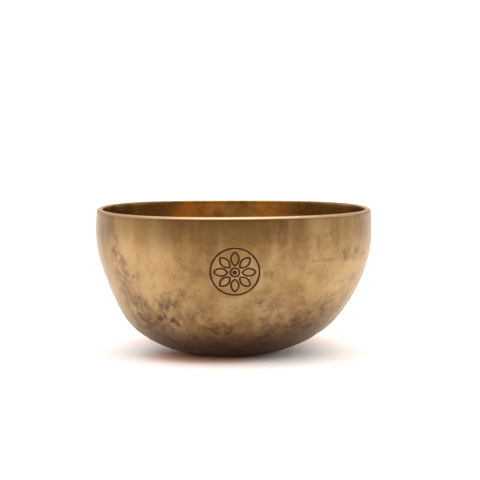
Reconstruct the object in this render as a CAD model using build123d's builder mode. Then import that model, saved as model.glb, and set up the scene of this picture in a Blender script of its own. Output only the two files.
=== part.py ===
"""Hand-hammered bronze singing bowl with one engraved ornament, in millimetres.

The bowl is raised from a single disc of bell bronze, so its wall is one solid: a small resting flat,
a domed underside, a tighter hip, a steeper flank, a shoulder that turns upright at the belly, and a
short rim band that leans back in. An eight-petal rosette is engraved into the front of the wall, and
its grooves are part filled with blackened lacquer, which is a second solid.

Frame: origin at the centre of the resting flat, +Z up along the bowl's axis, ornament on the -Y side.
"""

import os
from math import asin, cos, degrees, radians, sin

from build123d import *

# Overall sizes
outer_diameter = 150.0
height = 79.0
rim_rise = 12.5  # from the belly, the widest level, up to the rim
resting_flat_diameter = 26.0
wall = 3.0

# Shape of the outer face: the slope from level at which each stretch ends, and the free radii
underside_slope = 37.0
hip_slope = 58.0
flank_slope = 72.0
hip_radius = 40.0
flank_radius = 113.0
rim_band_radius = 150.0

# Rounding of the lip
lip_outer_fillet = 1.7
lip_inner_fillet = 0.8

# Engraved ornament
ornament_slope = 74.2  # slope of the wall at the ornament's centre, which sets its height
ornament_diameter = 26.4
line_width = 0.95
groove_depth = 0.5
fill_recess = 0.2  # from the bowl's outer face down to the top of the lacquer
petal_count = 8
petal_tip_gap = 0.9  # bare metal between a petal's tip and the outer ring
petal_width = 5.0
eye_diameter = 6.6
eye_dot_diameter = 2.4
cutter_overhang = 1.0  # how far the engraving cutter stands out of the wall

belly_radius = outer_diameter / 2
belly_height = height - rim_rise


def solve_free_radii():
    """Radii of the underside and the shoulder that bring the belly to its radius and its height."""
    a, b, c = (radians(slope) for slope in (underside_slope, hip_slope, flank_slope))
    reach = (
        belly_radius
        - resting_flat_diameter / 2
        - hip_radius * (sin(b) - sin(a))
        - flank_radius * (sin(c) - sin(b))
    )
    climb = (
        belly_height
        - hip_radius * (cos(a) - cos(b))
        - flank_radius * (cos(b) - cos(c))
    )
    determinant = sin(a) * cos(c) - (1 - sin(c)) * (1 - cos(a))
    underside = (reach * cos(c) - climb * (1 - sin(c))) / determinant
    shoulder = (climb * sin(a) - reach * (1 - cos(a))) / determinant
    return underside, shoulder


underside_radius, shoulder_radius = solve_free_radii()

# The ornament is centred low on the shoulder, and faces straight out of the wall
ornament_reach = belly_radius - shoulder_radius * (1 - sin(radians(ornament_slope)))
ornament_height = belly_height - shoulder_radius * cos(radians(ornament_slope))
ornament_plane = Plane(
    origin=(0, -ornament_reach, ornament_height),
    x_dir=(1, 0, 0),
    z_dir=(0, -sin(radians(ornament_slope)), -cos(radians(ornament_slope))),
)


def wall_line(inset):
    """Draws a line through the wall at that depth below its outer face, from the axis to the rim."""
    floor = Line((0, inset), (resting_flat_diameter / 2, inset))
    underside = JernArc(floor @ 1, floor % 1, underside_radius - inset, underside_slope)
    hip = JernArc(underside @ 1, underside % 1, hip_radius - inset, hip_slope - underside_slope)
    flank = JernArc(hip @ 1, hip % 1, flank_radius - inset, flank_slope - hip_slope)
    shoulder = JernArc(flank @ 1, flank % 1, shoulder_radius - inset, 90 - flank_slope)
    lean = degrees(asin(rim_rise / (rim_band_radius - inset)))
    return JernArc(shoulder @ 1, shoulder % 1, rim_band_radius - inset, lean)


def wall_section(outer_inset, inner_inset):
    """Half section of the wall between two depths below its outer face."""
    with BuildSketch(Plane.XZ) as section:
        with BuildLine():
            outer = wall_line(outer_inset)
            inner = wall_line(inner_inset)
            Line(outer @ 1, inner @ 1)
            Line((0, outer_inset), (0, inner_inset))
        make_face()
    return section.sketch


def ring(diameter, width):
    """A flat ring measured over its outer edge."""
    Circle(diameter / 2)
    Circle(diameter / 2 - width, mode=Mode.SUBTRACT)


def rosette():
    """The lines of the ornament: an outer ring, petals around an eye, and a dot in the eye."""
    tip = ornament_diameter / 2 - line_width - petal_tip_gap
    root = eye_diameter / 2
    middle = (tip + root) / 2
    with BuildSketch() as petal:
        with BuildLine():
            ThreePointArc((root, 0), (middle, petal_width / 2), (tip, 0))
            ThreePointArc((tip, 0), (middle, -petal_width / 2), (root, 0))
        make_face()
        offset(amount=-line_width, mode=Mode.SUBTRACT)
    with BuildSketch(ornament_plane) as lines:
        ring(ornament_diameter, line_width)
        with PolarLocations(0, petal_count, start_angle=90):
            add(petal.sketch)
        Circle(eye_diameter / 2, mode=Mode.SUBTRACT)
        ring(eye_diameter - line_width, line_width)
        Circle(eye_dot_diameter / 2)
    return lines.sketch


def engraving(outer_inset, inner_inset):
    """The rosette as a solid in the skin of the wall, between two depths below its outer face."""
    with BuildPart() as skin:
        extrude(rosette(), amount=ornament_diameter / 2, both=True)
        revolve(wall_section(outer_inset, inner_inset), axis=Axis.Z, mode=Mode.INTERSECT)
    return skin.part


with BuildSketch(Plane.XZ) as bowl_section:
    add(wall_section(0, wall))
    lip_corners = bowl_section.vertices().group_by(Axis.Y)[-1].sort_by(Axis.X)
    fillet(lip_corners[-1], lip_outer_fillet)
    lip_corners = bowl_section.vertices().group_by(Axis.Y)[-1].sort_by(Axis.X)
    fillet(lip_corners[0], lip_inner_fillet)

with BuildPart() as bowl:
    revolve(bowl_section.sketch, axis=Axis.Z)
    add(engraving(-cutter_overhang, groove_depth), mode=Mode.SUBTRACT)
bowl.part.label = "bowl"

with BuildPart() as engraving_fill:
    add(engraving(fill_recess, groove_depth))
engraving_fill.part.label = "engraving_fill"

os.makedirs("parts", exist_ok=True)
export_step(bowl.part, "parts/bowl.step")
export_step(engraving_fill.part, "parts/engraving_fill.step")

print("radii of the underside and the shoulder:", round(underside_radius, 2), round(shoulder_radius, 2))
print("centre of the ornament, y and z:", round(-ornament_reach, 2), round(ornament_height, 2))
print("bowl volume, cm3:", round(bowl.part.volume / 1000, 1))
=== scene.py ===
"""Looks of a hand-hammered bell-bronze singing bowl, laid out as an add-on and run as a script.

The bowl is raised from one disc of metal: its wall is drawn as a profile and spun, then hammered by
moving points, and the rosette is cut into it along the CAD model's own lacquer lines.
"""
import random
from math import acos, asin, atan2, cos, degrees, hypot, pi, radians, sin

import bmesh
import bpy
from bpy.props import FloatProperty, FloatVectorProperty, IntProperty, PointerProperty
from mathutils import Matrix, Vector, kdtree, noise
from mathutils.bvhtree import BVHTree
from mathutils.interpolate import poly_3d_calc


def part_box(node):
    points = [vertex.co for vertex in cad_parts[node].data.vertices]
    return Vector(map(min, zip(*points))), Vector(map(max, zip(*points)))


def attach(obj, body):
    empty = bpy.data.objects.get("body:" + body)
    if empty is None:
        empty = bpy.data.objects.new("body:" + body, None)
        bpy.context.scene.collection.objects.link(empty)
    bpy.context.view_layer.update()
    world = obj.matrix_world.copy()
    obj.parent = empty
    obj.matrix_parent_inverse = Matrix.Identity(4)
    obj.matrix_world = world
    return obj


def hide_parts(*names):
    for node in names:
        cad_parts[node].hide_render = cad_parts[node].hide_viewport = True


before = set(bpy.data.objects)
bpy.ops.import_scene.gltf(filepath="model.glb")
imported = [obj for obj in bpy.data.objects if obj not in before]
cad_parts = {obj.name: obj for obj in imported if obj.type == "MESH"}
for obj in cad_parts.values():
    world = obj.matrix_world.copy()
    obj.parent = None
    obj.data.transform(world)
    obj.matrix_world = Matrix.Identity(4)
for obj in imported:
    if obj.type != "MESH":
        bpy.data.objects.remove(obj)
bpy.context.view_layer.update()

bl_info = {
    "name": "Hammered singing bowl",
    "version": (1, 0, 0),
    "blender": (4, 5, 0),
    "location": "3D View > Sidebar > Singing Bowl",
    "description": "Raises a hammered bronze bowl with an engraved rosette, and lights it softly",
    "category": "Add Mesh",
}

MM = 0.001
BOWL_LOW, BOWL_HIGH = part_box("bowl")
FILL_LOW, FILL_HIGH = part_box("engraving_fill")
ORNAMENT_CENTRE = (FILL_LOW + FILL_HIGH) / 2
ORNAMENT_RADIUS = (FILL_HIGH.x - FILL_LOW.x) / 2


# ---------------------------------------------------------------- sizes and colours

def length(name, description, millimetres):
    """A length that a user may change, given in millimetres and kept in metres."""
    return FloatProperty(name=name, description=description, default=millimetres * MM, min=0.0,
                         subtype="DISTANCE", unit="LENGTH", precision=5)


def turn(name, description, angle):
    """An angle that a user may change, given in degrees and kept in radians."""
    return FloatProperty(name=name, description=description, default=radians(angle),
                         subtype="ANGLE", unit="ROTATION")


def linear(hex_colour):
    """An sRGB hex colour as linear red, green, blue and alpha."""
    parts = [int(hex_colour[i:i + 2], 16) / 255 for i in (1, 3, 5)]
    return [p / 12.92 if p <= 0.04045 else ((p + 0.055) / 1.055) ** 2.4 for p in parts] + [1.0]


def colour(name, description, hex_colour):
    """A colour that a user may change."""
    return FloatVectorProperty(name=name, description=description, default=linear(hex_colour),
                               size=4, min=0.0, max=1.0, subtype="COLOR")


class BowlShape(bpy.types.PropertyGroup):
    """Sizes of the wall, which follow the CAD model's."""
    diameter: length("Diameter", "Across the belly", (BOWL_HIGH.x - BOWL_LOW.x) / MM)
    height: length("Height", "From the resting flat to the lip", (BOWL_HIGH.z - BOWL_LOW.z) / MM)
    rim_rise: length("Rim rise", "From the belly up to the lip", 12.5)
    flat: length("Resting flat", "Diameter of the flat it stands on", 26.0)
    wall: length("Wall", "Thickness of the metal", 3.0)
    hip_radius: length("Hip radius", "Radius of the tight bend above the underside", 40.0)
    flank_radius: length("Flank radius", "Radius of the slow bend above the hip", 113.0)
    band_radius: length("Rim band radius", "Radius of the band that leans back in", 150.0)
    underside_slope: turn("Underside slope", "Slope where the underside ends", 37.0)
    hip_slope: turn("Hip slope", "Slope where the hip ends", 58.0)
    flank_slope: turn("Flank slope", "Slope where the flank ends", 72.0)
    lip_outer: length("Outer lip rounding", "Radius on the outside of the lip", 1.7)
    lip_inner: length("Inner lip rounding", "Radius on the inside of the lip", 0.8)
    outer_row: length("Outer row", "Height of one row of faces outside", 1.2)
    inner_row: length("Inner row", "Height of one row of faces inside", 1.8)
    segments: IntProperty(name="Segments", description="Faces in one turn", default=420, min=24)


class HammerWork(bpy.types.PropertyGroup):
    """How the hammer and the years left the wall."""
    seed: IntProperty(name="Seed", description="Picks one pattern of blows", default=7)
    spacing: length("Spacing", "Between two blows of one round", 6.2)
    width: length("Width", "Across one dent", 11.0)
    depth: length("Depth", "Deepest dent", 0.18)
    pit_depth: length("Pit depth", "Depth of a small casting pit", 0.35)
    lip_wave: length("Lip wave", "How far the lip is out of level", 0.26)
    lean: length("Lean", "How far the underside sits off the axis, to the left", 2.7)


class BronzeColours(bpy.types.PropertyGroup):
    """Colours of the metal and of what lies on it, and of painted shade and a painted reflection."""
    bright: colour("Rubbed bronze", "Where hands keep it bright", "#D0AD7C")
    gold: colour("Bronze", "Most of the wall", "#BE9662")
    olive: colour("Olive patina", "Thin, even tarnish below the lip", "#8A6838")
    brown: colour("Brown patina", "Old tarnish in the dents", "#6E4936")
    # painted shade as well as soot: the underside is this dark where it mirrors the shadowed floor
    soot: colour("Soot", "On the underside", "#40210C")
    inside: colour("Turned bronze", "The inside wall", "#DDB982")
    # also a painted reflection: the warm glow mirrored under the back of the lip
    inside_warm: colour("Rubbed inside", "Where the inside was last scoured", "#E2A552")
    # also painted shade under the back of the lip and at the bottom
    inside_dark: colour("Inside patina", "Tarnish inside", "#9C7E50")
    lip: colour("Burnished lip", "Polished by the striker", "#C6A287")
    lacquer: colour("Blackened lacquer", "In the engraved lines", "#331705")


class SoftStudio(bpy.types.PropertyGroup):
    """Camera, floor and light."""
    distance: length("Camera distance", "From the bowl's axis", 1300.0)
    camera_height: length("Camera height", "Above the floor", 165.5)
    aim_height: length("Aim height", "Height that the camera looks at, at the bowl's axis", 61.5)
    aim_side: length("Aim side", "How far right of the axis the camera looks", 3.4)
    frame_width: length("Frame width", "What the frame takes in at the bowl's axis", 261.5)
    camera_turn: turn("Camera turn", "How far round the bowl the camera stands", -0.6)


# ---------------------------------------------------------------- shared helpers

def add_node(tree, kind, inputs=(), **settings):
    """Adds a node, sets its settings, and links or sets its inputs by name or number."""
    made = tree.nodes.new(kind)
    for name, value in settings.items():
        setattr(made, name, value)
    for name, value in dict(inputs).items():
        socket = made.inputs[name]
        if isinstance(value, bpy.types.NodeSocket):
            tree.links.new(value, socket)
        else:
            socket.default_value = value
    return made


def new_material(name):
    """An empty node material with its output, and the tree."""
    made = bpy.data.materials.new(name)
    made.use_nodes = True
    made.node_tree.nodes.clear()
    return made, made.node_tree


def new_piece(name, mesh_source, materials):
    """A finished bmesh as a named object at the origin."""
    mesh = bpy.data.meshes.new(name)
    mesh_source.to_mesh(mesh)
    mesh_source.free()
    for made in materials:
        mesh.materials.append(made)
    piece = bpy.data.objects.new(name, mesh)
    bpy.context.scene.collection.objects.link(piece)
    return piece


def smooth_step(low, high, value):
    """0 below low, 1 above high, and a soft ramp between; low may be above high."""
    share = min(max((value - low) / (high - low), 0.0), 1.0)
    return share * share * (3 - 2 * share)


# ---------------------------------------------------------------- the wall

def free_radii(shape):
    """Radii of the underside and the shoulder that bring the belly to its radius and height."""
    a, b, c = shape.underside_slope, shape.hip_slope, shape.flank_slope
    reach = (shape.diameter / 2 - shape.flat / 2
             - shape.hip_radius * (sin(b) - sin(a)) - shape.flank_radius * (sin(c) - sin(b)))
    climb = (shape.height - shape.rim_rise
             - shape.hip_radius * (cos(a) - cos(b)) - shape.flank_radius * (cos(b) - cos(c)))
    determinant = sin(a) * cos(c) - (1 - sin(c)) * (1 - cos(a))
    underside = (reach * cos(c) - climb * (1 - sin(c))) / determinant
    shoulder = (climb * sin(a) - reach * (1 - cos(a))) / determinant
    return underside, shoulder


def stretches(shape):
    """The arcs of the outer face from the flat to the belly: radius, and slope where each ends."""
    underside, shoulder = free_radii(shape)
    return (
        (underside, shape.underside_slope),
        (shape.hip_radius, shape.hip_slope),
        (shape.flank_radius, shape.flank_slope),
        (shoulder, pi / 2),
    )


def on_wall(shape, around, up):
    """The point of the outer face at that turn from the front and that height."""
    belly = shape.height - shape.rim_rise
    if up >= belly:
        reach = shape.diameter / 2 - shape.band_radius * (1 - cos(asin((up - belly) / shape.band_radius)))
    else:
        reach, low, start = shape.flat / 2, 0.0, 0.0
        for radius, end in stretches(shape):
            rise = radius * (cos(start) - cos(end))
            if up <= low + rise:
                slope = acos(max(-1.0, cos(start) - (up - low) / radius))
                reach += radius * (sin(slope) - sin(start))
                break
            reach += radius * (sin(end) - sin(start))
            low += rise
            start = end
    return Vector((reach * sin(around), -reach * cos(around), up))


def swing(bm, tip, centre, angle, row):
    """Spins the tip of a profile about a centre in the XZ plane, upwards for a positive angle."""
    radius = (tip.co - centre).length
    steps = max(3, round(abs(angle) * radius / row))
    made = bmesh.ops.spin(bm, geom=[tip], cent=centre, axis=(0, -1, 0), angle=angle, steps=steps)
    return next(v for v in made["geom_last"] if isinstance(v, bmesh.types.BMVert))


def draw_wall(bm, shape, inset, rounding, row):
    """One side of the wall, from the axis to the lip, that far below the outer face."""
    tip = bm.verts.new((0, 0, inset))
    steps = round(shape.flat / 2 / row)
    for _ in range(steps):
        made = bmesh.ops.extrude_vert_indiv(bm, verts=[tip])
        tip = made["verts"][0]
        tip.co.x += shape.flat / 2 / steps
    slope = 0.0
    for radius, end_slope in stretches(shape):
        centre = tip.co + (radius - inset) * Vector((-sin(slope), 0, cos(slope)))
        tip = swing(bm, tip, centre, end_slope - slope, row)
        slope = end_slope
    # the rim band stops where the rounding of the lip begins
    depth = rounding if inset == 0 else inset - rounding
    lean = asin((shape.rim_rise - rounding) / (shape.band_radius - depth))
    centre = tip.co - Vector((shape.band_radius - inset, 0, 0))
    tip = swing(bm, tip, centre, lean, row)
    inward = Vector((-cos(lean), 0, -sin(lean)))
    # the lip is small, so its rows are finer than the wall's
    lip_row = row / 4
    if inset == 0:
        return swing(bm, tip, tip.co + rounding * inward, pi / 2 - lean, lip_row)
    return swing(bm, tip, tip.co - rounding * inward, -pi / 2 - lean, lip_row)


def spun_wall(shape):
    """The whole wall as one closed skin, with each point told which side it is on."""
    bm = bmesh.new()
    side = bm.verts.layers.float.new("inside")
    outer_tip = draw_wall(bm, shape, 0.0, shape.lip_outer, shape.outer_row)
    outer = set(bm.verts)
    inner_tip = draw_wall(bm, shape, shape.wall, shape.lip_inner, shape.inner_row)
    for v in bm.verts:
        v[side] = 0.0 if v in outer else 1.0
    bm.edges.new((outer_tip, inner_tip))
    bmesh.ops.spin(bm, geom=bm.verts[:] + bm.edges[:], cent=(0, 0, 0), axis=(0, 0, 1), angle=2 * pi,
                   steps=shape.segments, use_merge=True)
    bmesh.ops.remove_doubles(bm, verts=bm.verts, dist=0.005 * MM)
    bmesh.ops.recalc_face_normals(bm, faces=bm.faces)
    bm.normal_update()
    return bm


# ---------------------------------------------------------------- marks on the wall

# Old marks on the wall: degrees round from the front (right is positive), height and width in
# millimetres, how dark. They are the larger tarnished dents; the small ones come from the seed.
STAINS = (
    (-56, 66, 3, 0.5), (-58, 58, 4, 0.6), (-53, 54, 4, 0.6), (-52, 48, 3, 0.6), (-56, 45, 8, 0.5),
    (-18, 75, 9, 0.35), (-17, 52, 10, 0.4), (-11, 61, 8, 0.35), (19, 76, 9, 0.5), (16, 71, 7, 0.4),
    (37, 64, 7, 0.4), (52, 58, 6, 0.6), (60, 58, 5, 0.5), (14, 49, 3, 0.6), (26, 60, 13, 0.3),
    (-57, 37, 8, 0.6), (-50, 31, 8, 0.8), (-51, 21, 12, 0.8), (-34, 31, 6, 0.9), (-29, 32, 5, 0.9),
    (-37, 24, 7, 1.0), (-31, 23, 5, 1.0), (-37, 19, 9, 0.7), (-24, 38, 5, 0.6), (-30, 35, 5, 0.6),
    (-15, 29, 7, 0.5), (-11, 31, 4, 0.5), (-20, 27, 5, 0.5), (-21, 23, 5, 0.6), (-9, 19, 8, 0.8),
    (-1, 18, 6, 0.8), (12, 34, 5, 0.6), (18, 32, 7, 0.5), (49, 29, 8, 0.7), (21, 21, 10, 0.7),
    (35, 21, 9, 0.8), (43, 20, 8, 0.8), (18, 14, 7, 0.8), (27, 39, 3, 0.5), (31, 33, 4, 0.5),
    (24, 26, 5, 0.5), (6, 22, 9, 0.5),
)

# Stains inside, under the lip and at the bottom, written the same way. They are stains and also painted
# shade: those under the back of the lip darken what the inner wall mirrors there, and the wide one at the
# bottom dims the roof light's highlight
INSIDE_STAINS_AND_SHADE = (
    (-142, 74, 22, 1.0), (-122, 70, 20, 0.8), (-100, 70, 14, 0.5), (177, 73, 10, 0.7), (150, 72, 16, 0.8),
    (130, 70, 18, 0.7), (108, 72, 14, 0.8), (-20, 60, 20, 0.6), (60, 50, 16, 0.5), (-80, 30, 20, 0.5),
    (10, 20, 22, 0.5), (0, 2, 34, 0.8),
)

# Where the inside is warmer, written the same way: scoured metal, and under the back of the lip also a
# painted reflection of the warm glow that the inner wall mirrors
SCOURED_AND_REFLECTED = ((-162, 72, 22, 1.0), (164, 72, 15, 0.7), (-60, 40, 30, 0.5), (70, 30, 30, 0.5))

# Broad thin tarnish, written as the stains are
TARNISH = (
    (-4, 68, 62, 0.62), (22, 60, 34, 0.45), (3, 76, 44, 0.5), (46, 60, 24, 0.35), (-8, 55, 26, 0.4),
    (-63, 30, 26, 0.3), (-46, 20, 20, 0.45), (38, 18, 30, 0.75), (12, 12, 24, 0.6), (-12, 16, 20, 0.3),
    (66, 26, 16, 0.5), (56, 20, 14, 0.5), (-58, 73, 12, 0.5), (66, 68, 14, 0.35), (27, 66, 16, 0.15),
    (-68, 66, 18, 0.45), (-70, 50, 14, 0.35), (62, 72, 16, 0.35), (150, 66, 60, 0.5), (-120, 62, 50, 0.5),
    (100, 40, 34, 0.4), (-48, 50, 14, 0.3), (40, 50, 12, 0.3),
)

# Clusters of stains that the seed adds on the sides and the back: how many, and between which turns
CLUSTERS = 26
CLUSTER_TURNS = (74, 286)

# Small pits: degrees round from the front, height in millimetres
PITS = ((-48, 46), (-25, 47.5), (-37, 42), (42, 70), (43, 34.5), (140, 52), (-150, 34), (95, 61))
PIT_RADIUS = 1.1 * MM
PIT_STAIN_RADIUS = 1.3 * MM

# A scratch along the wall: the turns at its ends in degrees, its height and how dark it is. It climbs
# a little for each degree that it goes round.
SCRATCH_START, SCRATCH_END = 31, 73
SCRATCH_HEIGHT = 55.5 * MM
SCRATCH_CLIMB = 0.02 * MM
SCRATCH_HALF_WIDTH = 0.9 * MM
SCRATCH_DARK = 0.4

# The dabs that tear a stain's edge, large and small
DAB = 3.2 * MM
FINE_DAB = 1.5 * MM


def all_stains(work):
    """The stains listed for the front, and others like them round the sides and the back."""
    yield from STAINS
    rng = random.Random(work.seed + 1)
    for _ in range(CLUSTERS):
        around, up = rng.uniform(*CLUSTER_TURNS), 14 + 30 * rng.random() ** 1.5
        for _ in range(rng.randint(2, 6)):
            yield (around + rng.uniform(-7, 7), up + rng.uniform(-5, 5), rng.uniform(3, 9),
                   rng.uniform(0.3, 0.9))


def placed(shape, marks):
    """Each mark of a table, with its place on the outer face and its width in metres."""
    for around, up, width, strength in marks:
        yield on_wall(shape, radians(around), up * MM), width * MM, strength


def hammer_blows(shape, work):
    """Rounds of overlapping blows, from the underside up to the rim band."""
    rng = random.Random(work.seed)
    # heights between which a round of blows starts, and between which a blow lands
    first, last = 1.5 * MM, shape.height - 6 * MM
    lowest, highest = 0.6 * MM, shape.height - 5 * MM
    up = first
    while up < last:
        reach = hypot(*on_wall(shape, 0.0, up).xy)
        count = max(6, round(2 * pi * reach / work.spacing))
        start = rng.random() * 2 * pi
        # the upper wall was planished, which leaves a quarter of the depth
        fade = 1.0 - 0.75 * smooth_step(0.45, 0.85, up / shape.height)
        for i in range(count):
            around = start + 2 * pi * (i + rng.uniform(-0.35, 0.35)) / count
            height = up + rng.uniform(-0.35, 0.35) * work.spacing
            height = min(max(height, lowest), highest)
            width = work.width * rng.uniform(0.65, 1.15)
            yield on_wall(shape, around, height), width / 2, work.depth * fade * rng.uniform(0.25, 1.0)
        # rounds are closer in height where the wall is flatter
        steep = sin(min(pi / 2, up / shape.height * 2.2 + 0.25))
        up += work.spacing * 0.8 * steep


def dent(shape, work, outer, tree, patina):
    """Tarnishes the outer points, and says how far the hammer, the pits and the stains sink each."""
    sunk = [0.0] * len(outer)
    for middle, radius, depth in hammer_blows(shape, work):
        for _, i, gap in tree.find_range(middle, radius):
            sunk[i] += depth * (1 - (gap / radius) ** 2) ** 2
    for around, up in PITS:
        for _, i, gap in tree.find_range(on_wall(shape, radians(around), up * MM), PIT_RADIUS):
            sunk[i] += work.pit_depth * (1 - (gap / PIT_RADIUS) ** 2)
            outer[i][patina] = max(outer[i][patina], 1.0 - gap / PIT_STAIN_RADIUS)
    for middle, width, dark in placed(shape, all_stains(work)):
        radius = width * 1.2
        for _, i, gap in tree.find_range(middle, radius):
            torn = noise.noise(outer[i].co / DAB) + 0.5 * noise.noise(outer[i].co / FINE_DAB)
            mark = dark * smooth_step(1.1, 0.0, gap / radius * (1.0 + 0.8 * torn))
            outer[i][patina] = max(outer[i][patina], mark)
            sunk[i] += 0.25 * work.depth * mark
    return sunk


def scratch(outer, patina):
    """Darkens the points along the scratch."""
    for v in outer:
        around = degrees(atan2(v.co.x, -v.co.y))
        climb = SCRATCH_CLIMB * (around - SCRATCH_START)
        across = abs(v.co.z - SCRATCH_HEIGHT - climb) / SCRATCH_HALF_WIDTH
        if SCRATCH_START < around < SCRATCH_END and across < 1:
            v[patina] = max(v[patina], SCRATCH_DARK * (1 - across))


def tarnish_outside(shape, outer, tree, tarnish):
    """Lays the thin tarnish over the outer points, and a halo of soot round the engraved lines."""
    for middle, radius, dark in placed(shape, TARNISH):
        for _, i, gap in tree.find_range(middle, radius):
            mark = dark * smooth_step(1.0, 0.0, gap / radius)
            outer[i][tarnish] = 1 - (1 - outer[i][tarnish]) * (1 - mark)
    for v in outer:
        halo = smooth_step(ORNAMENT_RADIUS + 3 * MM, ORNAMENT_RADIUS - 0.5 * MM,
                           (v.co - ORNAMENT_CENTRE).length)
        v[tarnish] = max(v[tarnish], 0.65 * halo)


def mark_inside(shape, inner, patina, tarnish):
    """Stains the inner points and says where they are warmer, with painted shade and a painted reflection
    under the back of the lip.
    """
    for layer, marks in ((patina, INSIDE_STAINS_AND_SHADE), (tarnish, SCOURED_AND_REFLECTED)):
        for middle, width, strength in placed(shape, marks):
            for v in inner:
                gap = (v.co - middle).length / width
                v[layer] = max(v[layer], strength * smooth_step(1.2, 0.2, gap))


def sink(shape, outer, sunk):
    """Moves the outer points in, but not on the ornament, the resting flat or the lip."""
    for v, depth in zip(outer, sunk):
        off_ornament = smooth_step(ORNAMENT_RADIUS + 1 * MM, ORNAMENT_RADIUS + 7 * MM,
                                   (v.co - ORNAMENT_CENTRE).length)
        off_flat = smooth_step(shape.flat / 2, shape.flat / 2 + 5 * MM, hypot(v.co.x, v.co.y))
        off_lip = smooth_step(shape.height - 1 * MM, shape.height - 6 * MM, v.co.z)
        v.co -= v.normal * depth * off_ornament * off_flat * off_lip


def bend(bm, shape, work):
    """Sets the underside a little off the axis, and the lip a little out of level."""
    for v in bm.verts:
        v.co.x -= work.lean * smooth_step(44 * MM, 0, v.co.z)
        share = smooth_step(0.6 * shape.height, shape.height, v.co.z)
        if share > 0:
            around = atan2(v.co.x, -v.co.y)
            tilt = 0.5 * cos(around - radians(120))
            twist = 0.5 * cos(2 * around - radians(120)) + cos(3 * around - radians(10))
            v.co.z += share * work.lip_wave * (tilt + twist)


def hammer(bm, shape, work):
    """Marks and moves the wall's points as the hammer, the years and an unsteady hand leave them."""
    bm.verts.ensure_lookup_table()
    side = bm.verts.layers.float["inside"]
    patina = bm.verts.layers.float.new("patina")
    tarnish = bm.verts.layers.float.new("tarnish")
    outer = [v for v in bm.verts if v[side] < 0.5]
    inner = [v for v in bm.verts if v[side] > 0.5]
    tree = kdtree.KDTree(len(outer))
    for i, v in enumerate(outer):
        tree.insert(v.co, i)
    tree.balance()
    sunk = dent(shape, work, outer, tree, patina)
    scratch(outer, patina)
    tarnish_outside(shape, outer, tree, tarnish)
    mark_inside(shape, inner, patina, tarnish)
    sink(shape, outer, sunk)
    bend(bm, shape, work)


# ---------------------------------------------------------------- engraving

# A face this far from the plain wall, or turned this far from it, belongs to a groove
GROOVE_GAP = 0.12 * MM
GROOVE_FACING = 0.97
GROOVE_SOOT = 0.6


def even_shading(carved, whole):
    """Gives the wall round the grooves its old shading back, and soot along their edges."""
    tree = BVHTree.FromBMesh(whole)
    whole.faces.ensure_lookup_table()
    normals = [Vector(corner.vector) for corner in carved.corner_normals]
    darkened = carved.attributes["patina"].data
    for face in carved.polygons:
        if (face.center - ORNAMENT_CENTRE).length > ORNAMENT_RADIUS + 4 * MM:
            continue
        _, facing, _, gap = tree.find_nearest(face.center)
        if gap > GROOVE_GAP or face.normal.dot(facing) < GROOVE_FACING:
            for point in face.vertices:
                darkened[point].value = GROOVE_SOOT
            continue
        for corner in face.loop_indices:
            point = carved.vertices[carved.loops[corner].vertex_index].co
            spot, _, index, _ = tree.find_nearest(point)
            ring = whole.faces[index].verts
            shares = poly_3d_calc([v.co for v in ring], spot)
            normals[corner] = sum((v.normal * share for v, share in zip(ring, shares)), Vector())
            normals[corner].normalize()
    carved.normals_split_custom_set(normals)


def engraving_cutter():
    """The CAD model's lacquer with its top raised clear of the wall, which leaves the grooves' shape."""
    bm = bmesh.new()
    bm.from_mesh(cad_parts["engraving_fill"].data)
    bmesh.ops.remove_doubles(bm, verts=bm.verts, dist=0.002 * MM)
    bm.normal_update()
    slope = atan2(FILL_HIGH.z - FILL_LOW.z, FILL_HIGH.y - FILL_LOW.y)
    out = Vector((0, -sin(slope), -cos(slope)))
    tops = {v for f in bm.faces if f.normal.dot(out) > 0.7 for v in f.verts}
    for v in tops:
        v.co += out * 1.2 * MM
    bmesh.ops.dissolve_limit(bm, angle_limit=radians(1.0), verts=bm.verts, edges=bm.edges)
    return new_piece("engraving_cutter", bm, [])


def engrave(piece):
    """Cuts the grooves that the CAD model's lacquer lies in."""
    whole = bmesh.new()
    whole.from_mesh(piece.data)
    whole.normal_update()
    cutter = engraving_cutter()
    cut = piece.modifiers.new("Engrave", "BOOLEAN")
    cut.operation = "DIFFERENCE"
    cut.solver = "EXACT"
    cut.object = cutter
    depsgraph = bpy.context.evaluated_depsgraph_get()
    carved = bpy.data.meshes.new_from_object(piece.evaluated_get(depsgraph), depsgraph=depsgraph,
                                             preserve_all_data_layers=True)
    piece.modifiers.clear()
    # where two cuts meet in one point, the cut leaves the point twice
    joined = bmesh.new()
    joined.from_mesh(carved)
    bmesh.ops.remove_doubles(joined, verts=joined.verts, dist=0.0005 * MM)
    joined.to_mesh(carved)
    joined.free()
    carved.set_sharp_from_angle(angle=radians(40))
    even_shading(carved, whole)
    whole.free()
    plain = piece.data
    piece.data = carved
    carved.name = plain.name
    bpy.data.meshes.remove(plain)
    mesh = cutter.data
    bpy.data.objects.remove(cutter)
    bpy.data.meshes.remove(mesh)


# ---------------------------------------------------------------- materials

# Kinds of node used again and again, and the sockets of a Mix node that mixes colours
NOISE = "ShaderNodeTexNoise"
RAMP = "ShaderNodeMapRange"
SUM = "ShaderNodeMath"
MIX = "ShaderNodeMix"
SHARE, FIRST, SECOND, MIXED = 0, 6, 7, 2


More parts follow.
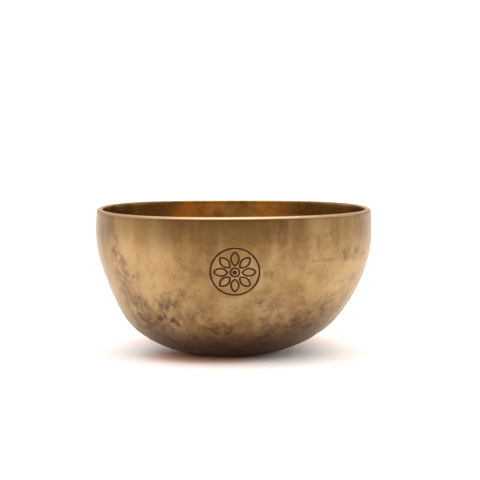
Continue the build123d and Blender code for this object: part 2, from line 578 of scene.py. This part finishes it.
def hammered_tones(tree, place, tones):
    """The metal's own colour, before its stains: clouds, thin tarnish, streaks and mottling."""
    up = add_node(tree, "ShaderNodeSeparateXYZ", {0: place}).outputs["Z"]
    tarnish = add_node(tree, "ShaderNodeAttribute", attribute_name="tarnish").outputs["Fac"]
    # clouds 30 mm across, between the metal as it is and where hands keep it bright
    clouds = add_node(tree, NOISE, {"Vector": place, "Scale": 1 / (30 * MM), "Detail": 3.0,
                                    "Roughness": 0.55}).outputs["Fac"]
    cloudy = add_node(tree, RAMP, {"Value": clouds, "From Min": 0.38, "From Max": 0.62}).outputs["Result"]
    metal = add_node(tree, MIX, {SHARE: cloudy, FIRST: tones.gold, SECOND: tones.bright},
                     data_type="RGBA").outputs[MIXED]
    # streaks 5 mm wide that run down from the lip, and soft bands 16 mm wide between them
    stretched = add_node(tree, "ShaderNodeMapping", {"Vector": place, "Scale": (1, 1, 0.15)}).outputs[0]
    streaks = add_node(tree, NOISE, {"Vector": stretched, "Scale": 1 / (5 * MM), "Detail": 4.0,
                                     "Roughness": 0.65}).outputs["Fac"]
    bands = add_node(tree, NOISE, {"Vector": stretched, "Scale": 1 / (16 * MM), "Detail": 2.0,
                                   "Roughness": 0.5}).outputs["Fac"]
    both = add_node(tree, MIX, {SHARE: 0.7, FIRST: streaks, SECOND: bands},
                    data_type="RGBA").outputs[MIXED]
    streaky = add_node(tree, RAMP, {"Value": both, "From Min": 0.38, "From Max": 0.62, "To Min": 0.55,
                                    "To Max": 1.35}).outputs["Result"]
    # thin olive tarnish where the attribute has it, and more of it towards the lip
    near_lip = add_node(tree, RAMP, {"Value": up, "From Min": 52 * MM, "From Max": 76 * MM, "To Max": 0.5},
                        interpolation_type="SMOOTHSTEP").outputs["Result"]
    thin = add_node(tree, SUM, {0: tarnish, 1: near_lip}, operation="ADD").outputs[0]
    olive = add_node(tree, SUM, {0: thin, 1: streaky}, operation="MULTIPLY", use_clamp=True).outputs[0]
    metal = add_node(tree, MIX, {SHARE: olive, FIRST: metal, SECOND: tones.olive},
                     data_type="RGBA").outputs[MIXED]
    # mottling 6 mm across, where the fire scale came off unevenly, and less of it towards the lip
    mottle = add_node(tree, NOISE, {"Vector": place, "Scale": 1 / (6 * MM), "Detail": 4.0,
                                    "Roughness": 0.6, "Distortion": 0.4}).outputs["Fac"]
    scaly = add_node(tree, RAMP, {"Value": up, "From Min": 48 * MM, "From Max": 70 * MM, "To Min": 1.0,
                                  "To Max": 0.25}).outputs["Result"]
    lighter = add_node(tree, RAMP, {"Value": mottle, "From Min": 0.5, "From Max": 0.7, "To Max": 0.3})
    darker = add_node(tree, RAMP, {"Value": mottle, "From Min": 0.48, "From Max": 0.32, "To Max": 0.4})
    for patch, tone in ((lighter, tones.bright), (darker, tones.olive)):
        share = add_node(tree, SUM, {0: patch.outputs["Result"], 1: scaly}, operation="MULTIPLY").outputs[0]
        metal = add_node(tree, MIX, {SHARE: share, FIRST: metal, SECOND: tone},
                         data_type="RGBA").outputs[MIXED]
    return metal


def hammered_stains(tree, place):
    """How far each place is stained brown, from 0 to 1."""
    up = add_node(tree, "ShaderNodeSeparateXYZ", {0: place}).outputs["Z"]
    patina = add_node(tree, "ShaderNodeAttribute", attribute_name="patina").outputs["Fac"]
    # blotches 11 mm across on the lower half, where the hammer bit deepest
    blotches = add_node(tree, NOISE, {"Vector": place, "Scale": 1 / (11 * MM), "Detail": 5.0,
                                      "Roughness": 0.62}).outputs["Fac"]
    spots = add_node(tree, RAMP, {"Value": blotches, "From Min": 0.50, "From Max": 0.72}).outputs["Result"]
    low = add_node(tree, RAMP, {"Value": up, "From Min": 52 * MM, "From Max": 20 * MM},
                   interpolation_type="SMOOTHSTEP").outputs["Result"]
    low_spots = add_node(tree, SUM, {0: spots, 1: low}, operation="MULTIPLY").outputs[0]
    marks = add_node(tree, SUM, {0: low_spots, 1: 0.85}, operation="MULTIPLY").outputs[0]
    # the placed stains are worn through in dabs 3 mm across
    dabs = add_node(tree, NOISE, {"Vector": place, "Scale": 1 / DAB, "Detail": 2.0}).outputs["Fac"]
    worn = add_node(tree, RAMP, {"Value": dabs, "From Min": 0.36, "From Max": 0.58, "To Min": 0.4,
                                 "To Max": 1.1}, interpolation_type="SMOOTHSTEP").outputs["Result"]
    stains = add_node(tree, SUM, {0: patina, 1: worn}, operation="MULTIPLY").outputs[0]
    return add_node(tree, SUM, {0: stains, 1: marks}, operation="MAXIMUM", use_clamp=True).outputs[0]


def hammered_bronze(tones):
    """Bell bronze, hammered and left to tarnish: satin, golden where rubbed, brown in the dents."""
    made, tree = new_material("hammered_bell_bronze")
    place = add_node(tree, "ShaderNodeTexCoord").outputs["Object"]
    metal = hammered_tones(tree, place, tones)
    stained = hammered_stains(tree, place)
    metal = add_node(tree, MIX, {SHARE: stained, FIRST: metal, SECOND: tones.brown},
                     data_type="RGBA").outputs[MIXED]
    # the underside is darker: soot of the forge, and painted shade of the shadowed floor that it mirrors
    up = add_node(tree, "ShaderNodeSeparateXYZ", {0: place}).outputs["Z"]
    darkened = add_node(tree, RAMP, {"Value": up, "From Min": 24 * MM, "From Max": 5 * MM},
                     interpolation_type="SMOOTHSTEP").outputs["Result"]
    metal = add_node(tree, MIX, {SHARE: darkened, FIRST: metal, SECOND: tones.soot},
                     data_type="RGBA").outputs[MIXED]
    # stains are duller than the metal, and a grain 1.4 mm across breaks up its highlights
    rough = add_node(tree, RAMP, {"Value": stained, "To Min": 0.33, "To Max": 0.5}).outputs["Result"]
    grain = add_node(tree, NOISE, {"Vector": place, "Scale": 1 / (1.4 * MM), "Detail": 3.0,
                                   "Roughness": 0.7}).outputs["Fac"]
    bump = add_node(tree, "ShaderNodeBump", {"Height": grain, "Strength": 0.12, "Distance": 0.12 * MM})
    # the thin coat is the wax that it is wiped with
    shader = add_node(tree, "ShaderNodeBsdfPrincipled", {
        "Base Color": metal, "Metallic": 1.0, "Roughness": rough, "Normal": bump.outputs["Normal"],
        "Coat Weight": 0.28, "Coat Roughness": 0.2})
    add_node(tree, "ShaderNodeOutputMaterial", {"Surface": shader.outputs[0]})
    return made


def turned_bronze(tones):
    """Bell bronze turned on the inside: glossier than the outside, with fine rings round the bowl."""
    made, tree = new_material("turned_bell_bronze")
    place = add_node(tree, "ShaderNodeTexCoord").outputs["Object"]
    marked = add_node(tree, "ShaderNodeAttribute", attribute_name="patina").outputs["Fac"]
    scoured = add_node(tree, "ShaderNodeAttribute", attribute_name="tarnish").outputs["Fac"]
    # warmer where scoured, and a painted reflection: the warm glow that the inner wall mirrors under the
    # back of the lip
    metal = add_node(tree, MIX, {SHARE: scoured, FIRST: tones.inside, SECOND: tones.inside_warm},
                     data_type="RGBA").outputs[MIXED]
    # clouds of tarnish 22 mm across, and the placed stains, partly painted shade
    clouds = add_node(tree, NOISE, {"Vector": place, "Scale": 1 / (22 * MM), "Detail": 4.0,
                                    "Roughness": 0.6}).outputs["Fac"]
    cloudy = add_node(tree, RAMP, {"Value": clouds, "From Min": 0.42, "From Max": 0.66},
                      interpolation_type="SMOOTHSTEP").outputs["Result"]
    dark = add_node(tree, SUM, {0: cloudy, 1: marked}, operation="MAXIMUM").outputs[0]
    metal = add_node(tree, MIX, {SHARE: dark, FIRST: metal, SECOND: tones.inside_dark},
                     data_type="RGBA").outputs[MIXED]
    # the tool's rings are 1.6 mm apart, coarser than real ones so that they show
    flattened = add_node(tree, "ShaderNodeMapping", {"Vector": place, "Scale": (0.06, 0.06, 1)}).outputs[0]
    rings = add_node(tree, NOISE, {"Vector": flattened, "Scale": 1 / (1.6 * MM),
                                   "Detail": 3.0}).outputs["Fac"]
    rough = add_node(tree, RAMP, {"Value": rings, "To Min": 0.18, "To Max": 0.34}).outputs["Result"]
    bump = add_node(tree, "ShaderNodeBump", {"Height": rings, "Strength": 0.25, "Distance": 0.1 * MM})
    shader = add_node(tree, "ShaderNodeBsdfPrincipled", {
        "Base Color": metal, "Metallic": 1.0, "Roughness": rough, "Normal": bump.outputs["Normal"]})
    add_node(tree, "ShaderNodeOutputMaterial", {"Surface": shader.outputs[0]})
    return made


def burnished_bronze(tones):
    """Bell bronze burnished by the striker: the palest line on the bowl, worn in patches 4 mm long."""
    made, tree = new_material("burnished_bell_bronze")
    place = add_node(tree, "ShaderNodeTexCoord").outputs["Object"]
    wear = add_node(tree, NOISE, {"Vector": place, "Scale": 1 / (4 * MM), "Detail": 3.0}).outputs["Fac"]
    metal = add_node(tree, MIX, {SHARE: wear, FIRST: tones.lip, SECOND: tones.bright},
                     data_type="RGBA").outputs[MIXED]
    rough = add_node(tree, RAMP, {"Value": wear, "To Min": 0.4, "To Max": 0.54}).outputs["Result"]
    shader = add_node(tree, "ShaderNodeBsdfPrincipled", {
        "Base Color": metal, "Metallic": 1.0, "Roughness": rough})
    add_node(tree, "ShaderNodeOutputMaterial", {"Surface": shader.outputs[0]})
    return made


def blackened_lacquer(tones):
    """Lacquer blackened with soot and wiped flat: matt, and a little uneven in the grooves."""
    made, tree = new_material("blackened_lacquer")
    place = add_node(tree, "ShaderNodeTexCoord").outputs["Object"]
    soot = add_node(tree, NOISE, {"Vector": place, "Scale": 1 / (1.2 * MM), "Detail": 3.0}).outputs["Fac"]
    rubbed = add_node(tree, RAMP, {"Value": soot, "From Min": 0.45, "From Max": 0.75,
                                   "To Max": 0.18}).outputs["Result"]
    tone = add_node(tree, MIX, {SHARE: rubbed, FIRST: tones.lacquer, SECOND: tones.brown},
                    data_type="RGBA").outputs[MIXED]
    bump = add_node(tree, "ShaderNodeBump", {"Height": soot, "Strength": 0.4, "Distance": 0.05 * MM})
    shader = add_node(tree, "ShaderNodeBsdfPrincipled", {
        "Base Color": tone, "Roughness": 0.75, "Specular IOR Level": 0.1, "Normal": bump.outputs["Normal"]})
    add_node(tree, "ShaderNodeOutputMaterial", {"Surface": shader.outputs[0]})
    return made


# ---------------------------------------------------------------- the studio

# The tent that the bronze mirrors: its dim opening on the camera's side, then each panel by the axis
# that it lies along, the sines of the angles where it starts and is full, and its tone
OPENING = "#75614F"
PANELS = (
    ("Y", -0.85, 0.0, "#C4BFBB"),
    ("Y", 0.7, 0.85, "#BDB7B4"),
    ("Y", 0.86, 0.98, "#FFFAFC"),
    ("Z", 0.35, 0.85, "#E6E2DE"),
)

# Light on the paper, even from all round and strong enough to wash the paper out to white
EVEN_LIGHT = (1, 0.945, 0.92, 1)
EVEN_STRENGTH = 1.9
BACKDROP_STRENGTH = 1.05

# The paper, seen by the camera and mirrored in the bronze: its tone, its painted shadow and its painted warm
# bounce light near the bowl
PAPER = "#F4F2F1"
PAPER_SHADE = "#A88C84"
PAPER_PAINTED_BOUNCE = "#E6B294"
MIRRORED_PAPER = "#CECECB"
MIRRORED_PAINTED_BOUNCE = "#DCAE8F"
SHADE_CENTRE = (0, 55 * MM, 0)
PAINTED_BOUNCE_CENTRE = (-14 * MM, -16 * MM, 0)


def light_tent():
    """A white tent round the bowl, with a dimmer opening on the camera's side."""
    world = bpy.data.worlds.new("light_tent")
    world.use_nodes = True
    tree = world.node_tree
    tree.nodes.clear()
    way = add_node(tree, "ShaderNodeTexCoord").outputs["Generated"]
    along = add_node(tree, "ShaderNodeSeparateXYZ", {0: way})
    tent = linear(OPENING)
    for axis, start, full, tone in PANELS:
        share = add_node(tree, RAMP, {"Value": along.outputs[axis], "From Min": start, "From Max": full},
                         interpolation_type="SMOOTHSTEP").outputs["Result"]
        tent = add_node(tree, MIX, {SHARE: share, FIRST: tent, SECOND: linear(tone)},
                        data_type="RGBA").outputs[MIXED]
    walls = add_node(tree, "ShaderNodeBackground", {"Color": tent, "Strength": 1.0})
    even = add_node(tree, "ShaderNodeBackground", {"Color": EVEN_LIGHT, "Strength": EVEN_STRENGTH})
    backdrop = add_node(tree, "ShaderNodeBackground", {"Color": (1, 1, 1, 1), "Strength": BACKDROP_STRENGTH})
    path = add_node(tree, "ShaderNodeLightPath")
    lit = add_node(tree, "ShaderNodeMixShader", {0: path.outputs["Is Glossy Ray"], 1: even.outputs[0],
                                                 2: walls.outputs[0]})
    both = add_node(tree, "ShaderNodeMixShader", {0: path.outputs["Is Camera Ray"], 1: lit.outputs[0],
                                                  2: backdrop.outputs[0]})
    add_node(tree, "ShaderNodeOutputWorld", {"Surface": both.outputs[0]})
    return world


def white_paper():
    """Uncoated white paper: matt, with a painted shadow behind the bowl and painted warm light from the
    bronze round its foot.
    """
    made, tree = new_material("white_paper")
    place = add_node(tree, "ShaderNodeTexCoord").outputs["Object"]
    # painted shadow: the paper is darker behind the bowl, as if the light came a little from the front
    behind = add_node(tree, "ShaderNodeVectorMath", {0: place, 1: SHADE_CENTRE}, operation="DISTANCE")
    shade = add_node(tree, RAMP, {"Value": behind.outputs["Value"], "From Min": 75 * MM,
                                  "From Max": 13 * MM}, interpolation_type="SMOOTHSTEP").outputs["Result"]
    seen = add_node(tree, MIX, {SHARE: shade, FIRST: linear(PAPER), SECOND: linear(PAPER_SHADE)},
                    data_type="RGBA").outputs[MIXED]
    # painted light: a warm pool round the foot, standing in for light that the bronze throws onto the paper
    before = add_node(tree, "ShaderNodeVectorMath", {0: place, 1: PAINTED_BOUNCE_CENTRE}, operation="DISTANCE")
    painted_bounce = add_node(tree, RAMP, {"Value": before.outputs["Value"], "From Min": 42 * MM,
                                 "From Max": 16 * MM}, interpolation_type="SMOOTHSTEP").outputs["Result"]
    seen = add_node(tree, MIX, {SHARE: painted_bounce, FIRST: seen, SECOND: linear(PAPER_PAINTED_BOUNCE)},
                    data_type="RGBA").outputs[MIXED]
    # the bronze mirrors the paper in the tone that it has when it isn't washed out to white, with painted
    # warm bounce light round the foot
    away = add_node(tree, "ShaderNodeVectorMath", {0: place}, operation="LENGTH").outputs["Value"]
    painted_bounce_share = add_node(tree, RAMP, {"Value": away, "From Min": 64 * MM, "From Max": 24 * MM},
                    interpolation_type="SMOOTHSTEP").outputs["Result"]
    mirrored = add_node(tree, MIX, {SHARE: painted_bounce_share, FIRST: linear(MIRRORED_PAPER),
                                    SECOND: linear(MIRRORED_PAINTED_BOUNCE)}, data_type="RGBA").outputs[MIXED]
    in_bronze = add_node(tree, "ShaderNodeLightPath").outputs["Is Glossy Ray"]
    tone = add_node(tree, MIX, {SHARE: in_bronze, FIRST: seen, SECOND: mirrored},
                    data_type="RGBA").outputs[MIXED]
    shader = add_node(tree, "ShaderNodeBsdfPrincipled", {"Base Color": tone, "Roughness": 0.9,
                                                         "Specular IOR Level": 0.1})
    add_node(tree, "ShaderNodeOutputMaterial", {"Surface": shader.outputs[0]})
    return made


def place_floor():
    """A floor of white paper, 20 m from its middle to each edge, so that its end is never seen."""
    bm = bmesh.new()
    bmesh.ops.create_grid(bm, x_segments=1, y_segments=1, size=20.0)
    floor = new_piece("studio_floor", bm, [white_paper()])


def place_roof_light(scene):
    """The light through the tent's roof: very wide, tipped to the front, and seen only in the bronze."""
    sun = bpy.data.lights.new("roof_of_the_tent", "SUN")
    sun.energy = 2.3
    sun.angle = radians(60)
    holder = bpy.data.objects.new("roof_of_the_tent", sun)
    holder.rotation_euler = (radians(6), 0, 0)
    holder.visible_diffuse = False
    scene.collection.objects.link(holder)


def place_camera(scene, studio):
    """The camera, a little above the lip and far enough off to see the bowl almost level."""
    camera = bpy.data.cameras.new("camera")
    camera.sensor_width = 36.0
    camera.dof.use_dof = False
    camera.clip_end = 100.0
    holder = bpy.data.objects.new("camera", camera)
    scene.collection.objects.link(holder)
    around = Matrix.Rotation(studio.camera_turn, 4, "Z")
    stand = around @ Vector((studio.aim_side, -studio.distance, studio.camera_height))
    aim = around @ Vector((studio.aim_side, 0, studio.aim_height))
    holder.location = stand
    holder.rotation_euler = (aim - stand).to_track_quat("-Z", "Y").to_euler()
    camera.lens = camera.sensor_width * (aim - stand).length / studio.frame_width
    scene.camera = holder


# ---------------------------------------------------------------- operators

# The wall's material slots, in order
OUTSIDE, INSIDE, LIP = 0, 1, 2


class SCENE_OT_soft_studio(bpy.types.Operator):
    """Set the floor, the light and the camera"""
    bl_idname = "scene.soft_studio"
    bl_label = "Soft Studio"

    def execute(self, context):
        scene = context.scene
        place_floor()
        scene.world = light_tent()
        place_roof_light(scene)
        place_camera(scene, scene.bowl_studio)
        scene.view_settings.view_transform = "Standard"
        return {"FINISHED"}


class MESH_OT_hammered_bowl(bpy.types.Operator):
    """Raise the bowl's wall, hammer it and engrave it"""
    bl_idname = "mesh.hammered_bowl"
    bl_label = "Hammered Bowl"

    def execute(self, context):
        scene = context.scene
        shape, work, tones = scene.bowl_shape, scene.bowl_hammer, scene.bowl_colours
        bm = spun_wall(shape)
        hammer(bm, shape, work)
        side = bm.verts.layers.float["inside"]
        lip_foot = shape.height - shape.lip_outer - 0.3 * MM
        for face in bm.faces:
            inside = sum(v[side] for v in face.verts) / len(face.verts)
            face.material_index = INSIDE if inside > 0.5 else OUTSIDE
            if face.calc_center_median().z > lip_foot and face.normal.z > 0.25:
                face.material_index = LIP
            face.smooth = True
        piece = new_piece("hammered_bowl", bm, [hammered_bronze(tones), turned_bronze(tones),
                                                burnished_bronze(tones)])
        engrave(piece)
        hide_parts("bowl")
        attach(piece, "root")
        return {"FINISHED"}


class MESH_OT_engraving_lacquer(bpy.types.Operator):
    """Give the lacquer in the engraved lines its finish"""
    bl_idname = "mesh.engraving_lacquer"
    bl_label = "Engraving Lacquer"

    def execute(self, context):
        finish = blackened_lacquer(context.scene.bowl_colours)
        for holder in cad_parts["engraving_fill"].material_slots:
            holder.material = finish
        return {"FINISHED"}


class VIEW3D_PT_singing_bowl(bpy.types.Panel):
    """Sizes, colours and steps of the bowl"""
    bl_idname = "VIEW3D_PT_singing_bowl"
    bl_label = "Singing Bowl"
    bl_space_type = "VIEW_3D"
    bl_region_type = "UI"
    bl_category = "Singing Bowl"

    def draw(self, context):
        for group in (getattr(context.scene, name) for name in GROUPS):
            box = self.layout.box()
            for name in group.bl_rna.properties.keys():
                if name not in ("rna_type", "name"):
                    box.prop(group, name)
        for step in STEPS:
            self.layout.operator(step.bl_idname)


GROUPS = {
    "bowl_shape": BowlShape,
    "bowl_hammer": HammerWork,
    "bowl_colours": BronzeColours,
    "bowl_studio": SoftStudio,
}
STEPS = (SCENE_OT_soft_studio, MESH_OT_hammered_bowl, MESH_OT_engraving_lacquer)
CLASSES = (*GROUPS.values(), *STEPS, VIEW3D_PT_singing_bowl)


def register():
    for made in CLASSES:
        bpy.utils.register_class(made)
    for name, group in GROUPS.items():
        setattr(bpy.types.Scene, name, PointerProperty(type=group))


def unregister():
    for name in GROUPS:
        delattr(bpy.types.Scene, name)
    for made in reversed(CLASSES):
        bpy.utils.unregister_class(made)


def main():
    register()
    bpy.ops.scene.soft_studio()
    bpy.ops.mesh.hammered_bowl()
    bpy.ops.mesh.engraving_lacquer()


if __name__ == "__main__":
    main()
